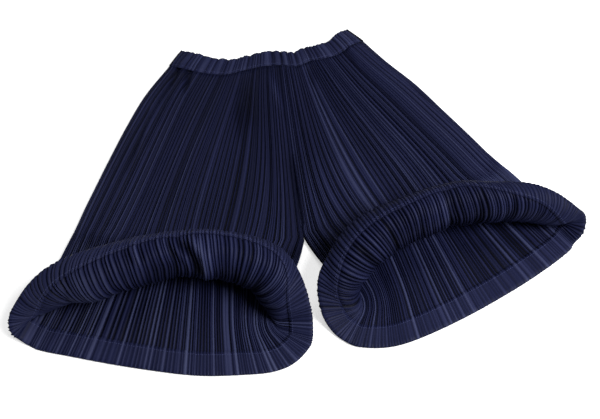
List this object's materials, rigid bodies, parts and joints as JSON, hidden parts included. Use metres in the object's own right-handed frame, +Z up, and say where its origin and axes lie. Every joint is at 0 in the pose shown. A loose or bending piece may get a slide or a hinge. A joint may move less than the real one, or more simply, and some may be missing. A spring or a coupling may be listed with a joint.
{
  "type": "pleated shorts",
  "caption": "Wide-leg pleated shorts with a gathered elastic waist and deep hems, laid flat with both leg openings rolled open.",
  "frame": {"origin": "middle of the garment as it lies, on the surface under it", "axes": "+Y from the hems to the waist, +X to the leg on the right in view, +Z up from the surface"},
  "size_m": [0.694, 0.5326, 0.0826],
  "materials": {
    "pleated_cloth": "soft satin"
  },
  "bodies": {
    "root": {"front_left": "pleated_cloth", "hem_front_left": "pleated_cloth", "back_left": "pleated_cloth", "hem_back_left": "pleated_cloth", "front_right": "pleated_cloth", "hem_front_right": "pleated_cloth", "back_right": "pleated_cloth", "hem_back_right": "pleated_cloth", "waistband_front": "pleated_cloth", "waistband_back": "pleated_cloth"}
  },
  "joints": []
}
